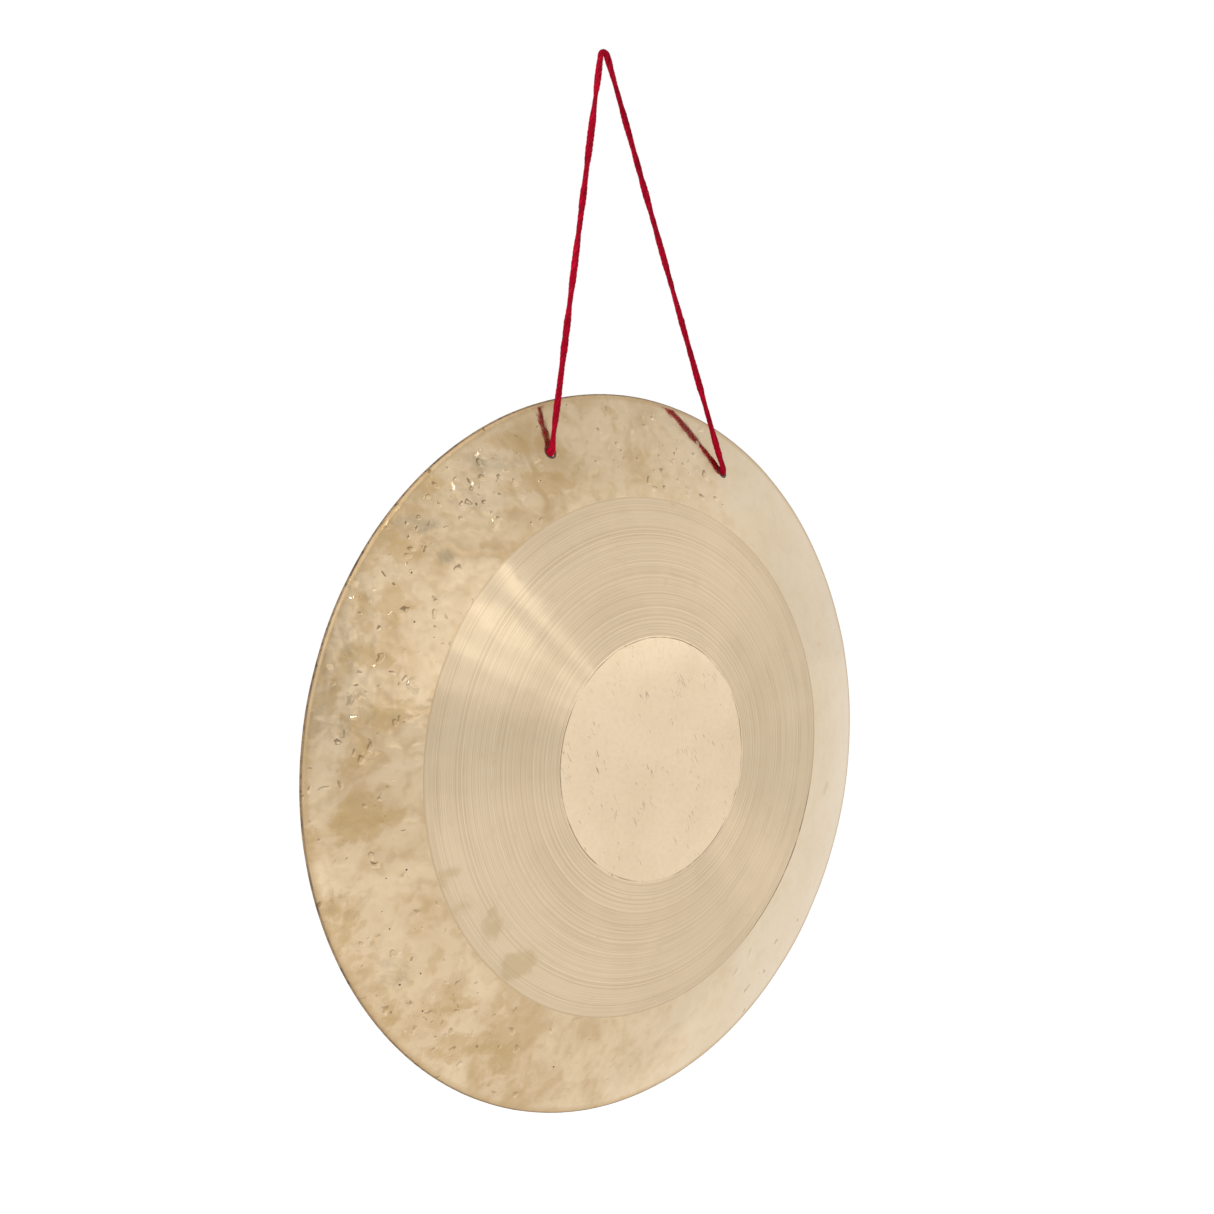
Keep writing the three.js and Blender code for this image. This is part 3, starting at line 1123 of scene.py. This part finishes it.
def open_hole(verts, faces, zones, side, on_back):
    """Cuts one side of the plate round a hole and fits round rings. Gives the innermost ring."""
    at = np.array([side * HOLE_SIDE_MM, HOLE_RISE_MM])
    if on_back:
        # The hole is square to the sheet, so its back end is a little nearer the middle.
        distance = np.linalg.norm(at)
        at = at * (1 - dome_slope(distance) * PLATE_THICKNESS_MM / distance)
    flat = np.array([(v[0], v[2]) for v in verts])
    inside = set(np.flatnonzero(np.linalg.norm(flat - at, axis=1) < HOLE_CLEAR_MM).tolist())
    zone = "back" if on_back else "rim"
    removed = [i for i, f in enumerate(faces) if zones[i] == zone and inside.intersection(f)]
    loop = boundary_of(removed, faces)
    for index in reversed(removed):
        del faces[index]
        del zones[index]
    angle = angles_round(HOLE_POINTS)
    rings = []
    bore, chamfer = HOLE_RADIUS_MM, HOLE_CHAMFER_MM
    for radius, sink in ((HOLE_LIP_MM, 0.0), (bore + chamfer, 0.03), (bore, chamfer)):
        x = at[0] + radius * np.cos(angle)
        z = at[1] + radius * np.sin(angle)
        y = sheet(x, z) + (PLATE_THICKNESS_MM - sink if on_back else front_relief(x, z) + sink)
        rings.append(range(len(verts), len(verts) + HOLE_POINTS))
        verts.extend(np.column_stack([x, y, z]).tolist())
    around = [*loop, *rings[0]]
    points = [Vector((verts[i][0], verts[i][2])) for i in around]
    first = len(loop)
    edges = [(i, (i + 1) % first) for i in range(first)]
    edges += [(first + i, first + (i + 1) % HOLE_POINTS) for i in range(HOLE_POINTS)]
    _, _, triangles, origin, _, _ = delaunay_2d_cdt(points, edges, [], 1, 1e-7)
    for triangle in triangles:
        corners = [origin[i][0] for i in triangle]
        middle = sum((points[i] for i in corners), Vector((0, 0))) / 3
        if (middle - Vector(at)).length < HOLE_LIP_MM * math.cos(math.pi / HOLE_POINTS):
            continue
        a, b, c = (points[i] for i in corners)
        turns_left = (b - a).cross(c - a) > 0
        face = [around[i] for i in corners]
        # Seen along +Y, a front face turns from X towards Z; a back face turns the other way.
        faces.append(tuple(face if turns_left != on_back else face[::-1]))
        zones.append(zone)
    for outer, inner in zip(rings, rings[1:]):
        made = band(inner, outer)
        faces.extend([face[::-1] for face in made] if on_back else made)
        zones.extend(["bore"] * len(made))
    return rings[-1]


def make_plate():
    verts, faces, zones = build_plate()
    verts = verts.tolist()
    for side in (-1, 1):
        front = open_hole(verts, faces, zones, side, False)
        back = open_hole(verts, faces, zones, side, True)
        faces.extend(band(back, front))
        zones.extend(["bore"] * HOLE_POINTS)
    used = sorted({i for face in faces for i in face})
    renumber = {old: new for new, old in enumerate(used)}
    verts = np.array(verts)[used]
    faces = [tuple(renumber[i] for i in face) for face in faces]
    plate = new_mesh("gong", verts * MM, faces)
    mesh = plate.data
    makers = {
        "centre": centre_material,
        "lathed": lathed_material,
        "rim": rim_material,
        "edge": edge_material,
        "bore": bore_material,
        "back": back_material,
    }
    for maker in makers.values():
        mesh.materials.append(maker())
    order = list(makers)
    mesh.polygons.foreach_set("material_index", [order.index(zone) for zone in zones])
    x, z = verts[:, 0], verts[:, 2]
    pitted = []
    for *place, spread, count in PIT_CLUSTERS:
        wide = PIT_MASK_WIDER * spread
        pitted.append((*place, wide, wide, min(1, count / PIT_MASK_FULL)))
    masks = {
        "stain_and_reflection": spots(x, z, STAINS_AND_DARK_REFLECTIONS),
        "smudge": spots(x, z, SMUDGES),
        "pitted": spots(x, z, pitted),
    }
    for name, values in masks.items():
        layer = mesh.attributes.new(name, "FLOAT", "POINT")
        layer.data.foreach_set("value", values.astype(np.float32))
    mesh.set_sharp_from_angle(angle=SHARP_ANGLE)
    place = PLATE_FRAME_MM.copy()
    place.translation = place.translation * MM
    plate.matrix_world = place
    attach(plate, "plate")
    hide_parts("gong_plate")


# ------------------------------------------------------------------ the bronze's finishes

# Colours as linear light.
PALE_BRONZE = (0.822, 0.662, 0.462, 1)
RIM_SMOOTH = (0.655, 0.540, 0.387, 1)
RIM_PALE = (0.715, 0.560, 0.372, 1)
RIM_BRONZE = (0.635, 0.480, 0.302, 1)
LATHED_BRONZE = (0.725, 0.575, 0.390, 1)
LATHED_DARK = (0.585, 0.445, 0.285, 1)
LATHED_LIGHT = (0.850, 0.712, 0.515, 1)
LATHED_HAIR = (0.430, 0.325, 0.205, 1)
OCHRE = (0.460, 0.305, 0.125, 1)
TAN = (0.505, 0.355, 0.185, 1)
OXIDE = (0.270, 0.240, 0.178, 1)
PIT_BROWN = (0.100, 0.070, 0.045, 1)
EDGE_BROWN = (0.170, 0.110, 0.070, 1)
EDGE_WORN = (0.360, 0.255, 0.150, 1)

# Cells for each metre: a bigger number gives smaller and closer marks.
PIT_CELLS = 170
HUMP_CELLS = 105
# How far each pit's painted shade and painted highlight are shifted from the pit.
PIT_SHADE_SHIFT = (-0.0006, 0.0, 0.0007)
NICK_TURN = (0, math.radians(-57), 0)
NICK_STRETCH = (520, 1, 170)
SCRATCH_TURN = (0, 0.5, 0)
SCRATCH_STRETCH = (1100, 1, 150)
LATHE_ANISOTROPY = 1.0
LATHE_TURN = 0.25


def plate_place(tree):
    """The plate's flat place, its distance from the middle, and its X and Z, all in metres."""
    x, _, z = split(object_place(tree))
    flat = combined(x, 0.0, z)
    return flat, vector_maths("LENGTH", flat, out="Value"), x, z


def attribute(tree, name):
    return add(tree, "ShaderNodeAttribute", out="Fac", attribute_name=name)


def specks(place, scale, share, size, density=1.0):
    """Small dark pinholes: 1 inside one, 0 outside."""
    distance, pick = cells(place, scale)
    radius = between(pick[1], 0.0, 1.0, 0.5 * size, size)
    return between(distance / radius, 0.75, 1.0, 1.0, 0.0) * pick[0].above(1.0 - density * share)


def centre_material():
    """Polished, with fine scratches, pinholes and a ragged turned line near its border."""
    material, tree = start_material("bronze_centre")
    flat, radius, _, _ = plate_place(tree)
    cloud = noise(flat, 26, 4, 0.55)
    fine = noise(flat, 420, 3, 0.6)
    grain = noise(flat, 330, 4, 0.7)
    scratch_place = stretched(stretched(flat, turn=SCRATCH_TURN), SCRATCH_STRETCH)
    scratch = between(noise(scratch_place, 1.0, 2, 0.5, 0.8), 0.64, 0.68)
    scratch *= between(noise(flat, 60, 2), 0.50, 0.58)
    speck = specks(flat, 85, 0.22, 0.085)
    ragged = (cloud - 0.5) * 0.0016 + radius
    line = between(ragged, 0.0662, 0.0666) * between(ragged, 0.0668, 0.0673, 1.0, 0.0)
    line *= between(noise(flat, 38, 3), 0.38, 0.56, 0.15, 1.0)
    colour = paint(
        PALE_BRONZE,
        (between(cloud, 0.3, 0.75, 0.0, 0.30), RIM_BRONZE),
        (between(grain, 0.42, 0.70, 0.0, 0.24), RIM_BRONZE),
        (scratch * 0.55, EDGE_BROWN),
        (speck * 0.9, EDGE_BROWN),
        (line * 0.75, EDGE_BROWN),
    )
    normal = bump(fine * 0.10 - (speck + scratch * 0.35), 0.00012, 0.8)
    return finish_metal(material, colour, between(fine, 0.3, 0.7, 0.20, 0.27), normal)


def lathed_material():
    """Turned grooves round the ring, with lone deep lines, stains, painted dark reflections at the
    lower left and a burr at the lower right.
    """
    material, tree = start_material("bronze_lathed")
    flat, radius, x, z = plate_place(tree)
    drift = noise(flat, 14, 2, 0.5)
    wander = drift * 0.0006 + radius
    line = combined(wander, drift * 0.0002)
    coarse = noise(line, 920, 4, 0.68)
    fine = noise(line, 1900, 4, 0.75)
    mixed = coarse * 0.5 + fine * 0.5
    lone = between(noise(stretched(line, shift=(0.4, 0, 0)), 700, 2, 0.5), 0.67, 0.71)
    lone *= between(noise(flat, 22, 2), 0.42, 0.58)
    hair = between(maths("ABSOLUTE", coarse - 0.5, 0.0), 0.003, 0.013, 1.0, 0.0)
    hair *= between(noise(stretched(flat, shift=(0.2, 0, 0.5)), 30, 2), 0.4, 0.6)
    border = between(radius, 0.1385, 0.1400) * between(drift, 0.35, 0.55, 0.9, 0.4)
    torn = (noise(flat, 90, 3) - 0.5) * 1.8
    # The stain mask also carries the painted dark reflections on this ring, at the lower left.
    dull = attribute(tree, "stain_and_reflection") + ((coarse - 0.5) * 1.6 + torn)
    burr = between(x, 0.080, 0.105) * between(z, -0.015, -0.040)
    burr *= between(noise(flat, 55, 3), 0.36, 0.50, 0.2, 1.0)
    burr *= between(wander, 0.1425, 0.1429)
    colour = paint(
        LATHED_DARK,
        (between(mixed, 0.40, 0.50), LATHED_BRONZE),
        (between(mixed, 0.50, 0.66), LATHED_LIGHT),
        (hair * 0.68, LATHED_HAIR),
        (border * 0.5, LATHED_DARK),
        (lone * 0.55, EDGE_BROWN),
        (between(dull, 0.25, 0.70, 0.0, 0.48), TAN),
        (between(radius, 0.1424, 0.1431) * 0.5, TAN),
        (burr * 0.9, EDGE_BROWN),
    )
    wavy = bump(noise(flat, 45, 2, 0.5), 0.0006, 0.7)
    turned = {
        "Metallic": 1.0,
        "Anisotropic": LATHE_ANISOTROPY,
        "Anisotropic Rotation": LATHE_TURN,
        "Tangent": add(tree, "ShaderNodeTangent", direction_type="RADIAL", axis="Y"),
        "Normal": bump(mixed - lone * 0.4, 0.00009, 0.6, wavy),
    }
    return finish_material(material, colour, between(mixed, 0.3, 0.7, 0.30, 0.36), turned)


def pits(place, limit):
    """Round pits in scattered cells: 1 inside one, and whether it goes in (-1) or stands out (1)."""
    distance, pick = cells(place, PIT_CELLS)
    radius = between(pick[1], 0.0, 1.0, 0.15, 0.34)
    bowl = between(distance / radius, 0.55, 1.0, 1.0, 0.0)
    return bowl * pick[0].above(limit), pick[2].above(0.45) * 2.0 - 1.0


def rim_material():
    """Hammered and unturned: hollows, pits, nicks, stains and oxide, most of them on the left."""
    material, tree = start_material("bronze_hammered")
    flat, radius, x, z = plate_place(tree)
    stain_and_reflection, smudge, pitted = (attribute(tree, name) for name in ("stain_and_reflection", "smudge", "pitted"))
    worn = between(x, 0.13, -0.11, 0.15, 1.0)

    cloud = noise(flat, 22, 5, 0.6, 0.4)
    blotch = noise(stretched(flat, shift=(0.3, 0, 0.7)), 48, 4, 0.6, 0.8)
    relief = noise(flat, 150, 4, 0.6, 0.6)
    hammered = noise(flat, 130, 1.3, 0.5, 0.2)
    fine = noise(flat, 700, 3, 0.6)
    tangle = add(tree, "ShaderNodeTexNoise", {"Vector": flat, "Scale": 130}, "Color")
    shaken = vector_maths("MULTIPLY_ADD", tangle, (0.010, 0, 0.010), flat)

    # Round pits and humps with a sharp side, 2 to 4 mm across, with painted shade inside one side of
    # each pit and a painted highlight just outside the other.
    calm = between(z, -0.02, -0.09, 1.0, 0.55)
    limit = 1.02 - pitted * 0.96
    bowl, way = pits(shaken, limit)
    lower, _ = pits(vector_maths("ADD", shaken, PIT_SHADE_SHIFT), limit)
    pit_painted_shade = maths("MAXIMUM", bowl - lower, 0.0) * calm
    pit_painted_highlight = maths("MAXIMUM", lower - bowl, 0.0)
    grimy = between(smudge, 0.02, 0.45, 0.06, 0.60)
    grimy = maths("MAXIMUM", grimy, between(pitted, 0.45, 1.0, 0.0, 0.30))
    ring = bowl * (1.0 - bowl) * 4.0 * (grimy * calm)

    # Short slanting nicks and the smallest specks.
    nick_place = stretched(stretched(shaken, turn=NICK_TURN), NICK_STRETCH)
    nick_distance, nick_pick = cells(nick_place, 1.0)
    nick = between(nick_distance, 0.16, 0.30, 1.0, 0.0) * nick_pick[0].above(0.985 - pitted * 0.11)
    tiny = specks(flat, 210, 0.045, 0.135, worn + pitted + smudge * 3.0)
    dark = maths("MAXIMUM", tiny, nick * worn * 0.55)

    # Stains and smudges, torn along the edges by the noise.
    torn = blotch * 0.6 + relief * 0.4 - 0.5
    stained = between(torn * 2.8 + stain_and_reflection, 0.30, 0.66)
    broad = between(cloud * 0.6 + blotch * 0.4, 0.46, 0.62) * worn
    smoked = between(torn * 3.6 + smudge, 0.15, 1.15) * between(smudge, 0.0, 0.2, 0.0, 0.55)
    smoked *= between(fine, 0.2, 0.6, 0.5, 1.0)
    # Painted shade: where the hammered relief lies low, the colour is tinted tan.
    hollow_shade = between(hammered, 0.50, 0.34) * between(cloud, 0.35, 0.60, 0.25, 0.60)
    mottle = between(relief, 0.46, 0.62) * between(worn, 0.1, 0.8, 0.12, 0.36)
    colour = paint(
        RIM_SMOOTH,
        (between(worn, 0.15, 0.75), RIM_PALE),
        (between(cloud, 0.32, 0.60) * worn, RIM_BRONZE),
        (hollow_shade * worn, TAN),
        (mottle, RIM_BRONZE),
        (broad * 0.70, TAN),
        (stained * 0.42, OCHRE),
        (smoked, OXIDE),
        (pit_painted_highlight * 0.55, PALE_BRONZE),
        (ring, PIT_BROWN),
        (pit_painted_shade * 0.62, PIT_BROWN),
        (dark * 0.85, PIT_BROWN),
        (between(radius, 0.1955, 0.1985, 0.0, 0.55), TAN),
        (between(radius, 0.1989, 0.1997, 0.0, 0.8), EDGE_BROWN),
    )
    rough = between(relief, 0.3, 0.7, 0.09, 0.15) + smoked * 0.10 + stained * 0.06 + pitted * 0.19
    rough += between(radius, 0.1974, 0.1988, 0.0, 0.38)
    rough += dark * 0.35 + between(bowl, 0.0, 0.35, 0.0, 0.34)

    soft = between(hammered, 0.2, 0.8) * (pitted * 0.5 + 0.5)
    relief_normal = bump(soft * worn, 0.0005, 0.7)
    hump_distance, hump_pick = cells(shaken, HUMP_CELLS)
    hump_radius = between(hump_pick[1], 0.0, 1.0, 0.20, 0.42)
    hump = between(hump_distance / hump_radius, 0.15, 1.0, 1.0, 0.0)
    hump *= hump_pick[0].above(1.0 - pitted * 0.75)
    relief_normal = bump(hump, 0.0006, 0.8, relief_normal)
    relief_normal = bump(fine, 0.00002, 0.5, relief_normal)
    holes = bowl * way * calm * 0.85 - dark * 0.6
    return finish_metal(material, colour, rough, bump(holes, 0.00019, 0.75, relief_normal))


def edge_material():
    """The plate's edge, brown and worn."""
    material, tree = start_material("bronze_edge")
    place = object_place(tree)
    rough = noise(place, 300, 4, 0.65)
    worn = noise(place, 60, 3, 0.6)
    colour = paint(
        EDGE_BROWN,
        (between(worn, 0.30, 0.55), EDGE_WORN),
        (between(rough, 0.5, 0.7), PIT_BROWN),
    )
    normal = bump(rough, 0.0001, 0.6)
    return finish_metal(material, colour, between(rough, 0.3, 0.7, 0.5, 0.7), normal)


def bore_material():
    """The holes' walls, dark with grime from the cord and with painted shade."""
    material, tree = start_material("bronze_bore")
    bore_mottle = noise(object_place(tree), 900, 4, 0.6)
    # Painted shade and grime: the walls are painted dark brown.
    colour = blend_colour(between(bore_mottle, 0.35, 0.7), PIT_BROWN, EDGE_BROWN)
    normal = bump(bore_mottle, 0.0001, 0.6)
    return finish_metal(material, colour, between(bore_mottle, 0.3, 0.7, 0.55, 0.8), normal, 0.6)


def back_material():
    """The back as such gongs have it: lathed near the middle, hammered and browner outside."""
    material, tree = start_material("bronze_back")
    flat, radius, _, _ = plate_place(tree)
    cloud = noise(flat, 18, 5, 0.6, 0.5)
    blotch = noise(flat, 55, 4, 0.62, 0.8)
    relief = noise(flat, 120, 4, 0.6, 0.5)
    rings = noise(combined(radius, cloud * 0.0004), 900, 6, 0.7)
    ringed = between(radius, 0.060, 0.0606) * between(radius, 0.1500, 0.1506, 1.0, 0.0)
    colour = paint(
        RIM_BRONZE,
        (between(cloud, 0.35, 0.65), TAN),
        (between(blotch, 0.52, 0.70, 0.0, 0.7), OCHRE),
        (ringed, blend_colour(between(rings, 0.38, 0.64), LATHED_DARK, LATHED_LIGHT)),
        (specks(flat, 150, 0.10, 0.15) * 0.8, PIT_BROWN),
        (between(radius, 0.1975, 0.1993), EDGE_BROWN),
    )
    hammered = bump(relief * (1.0 - ringed), 0.0008, 0.8)
    normal = bump(rings * ringed, 0.00008, 0.6, hammered)
    return finish_metal(material, colour, between(ringed, 0.0, 1.0, 0.24, 0.36), normal)


make_plate()
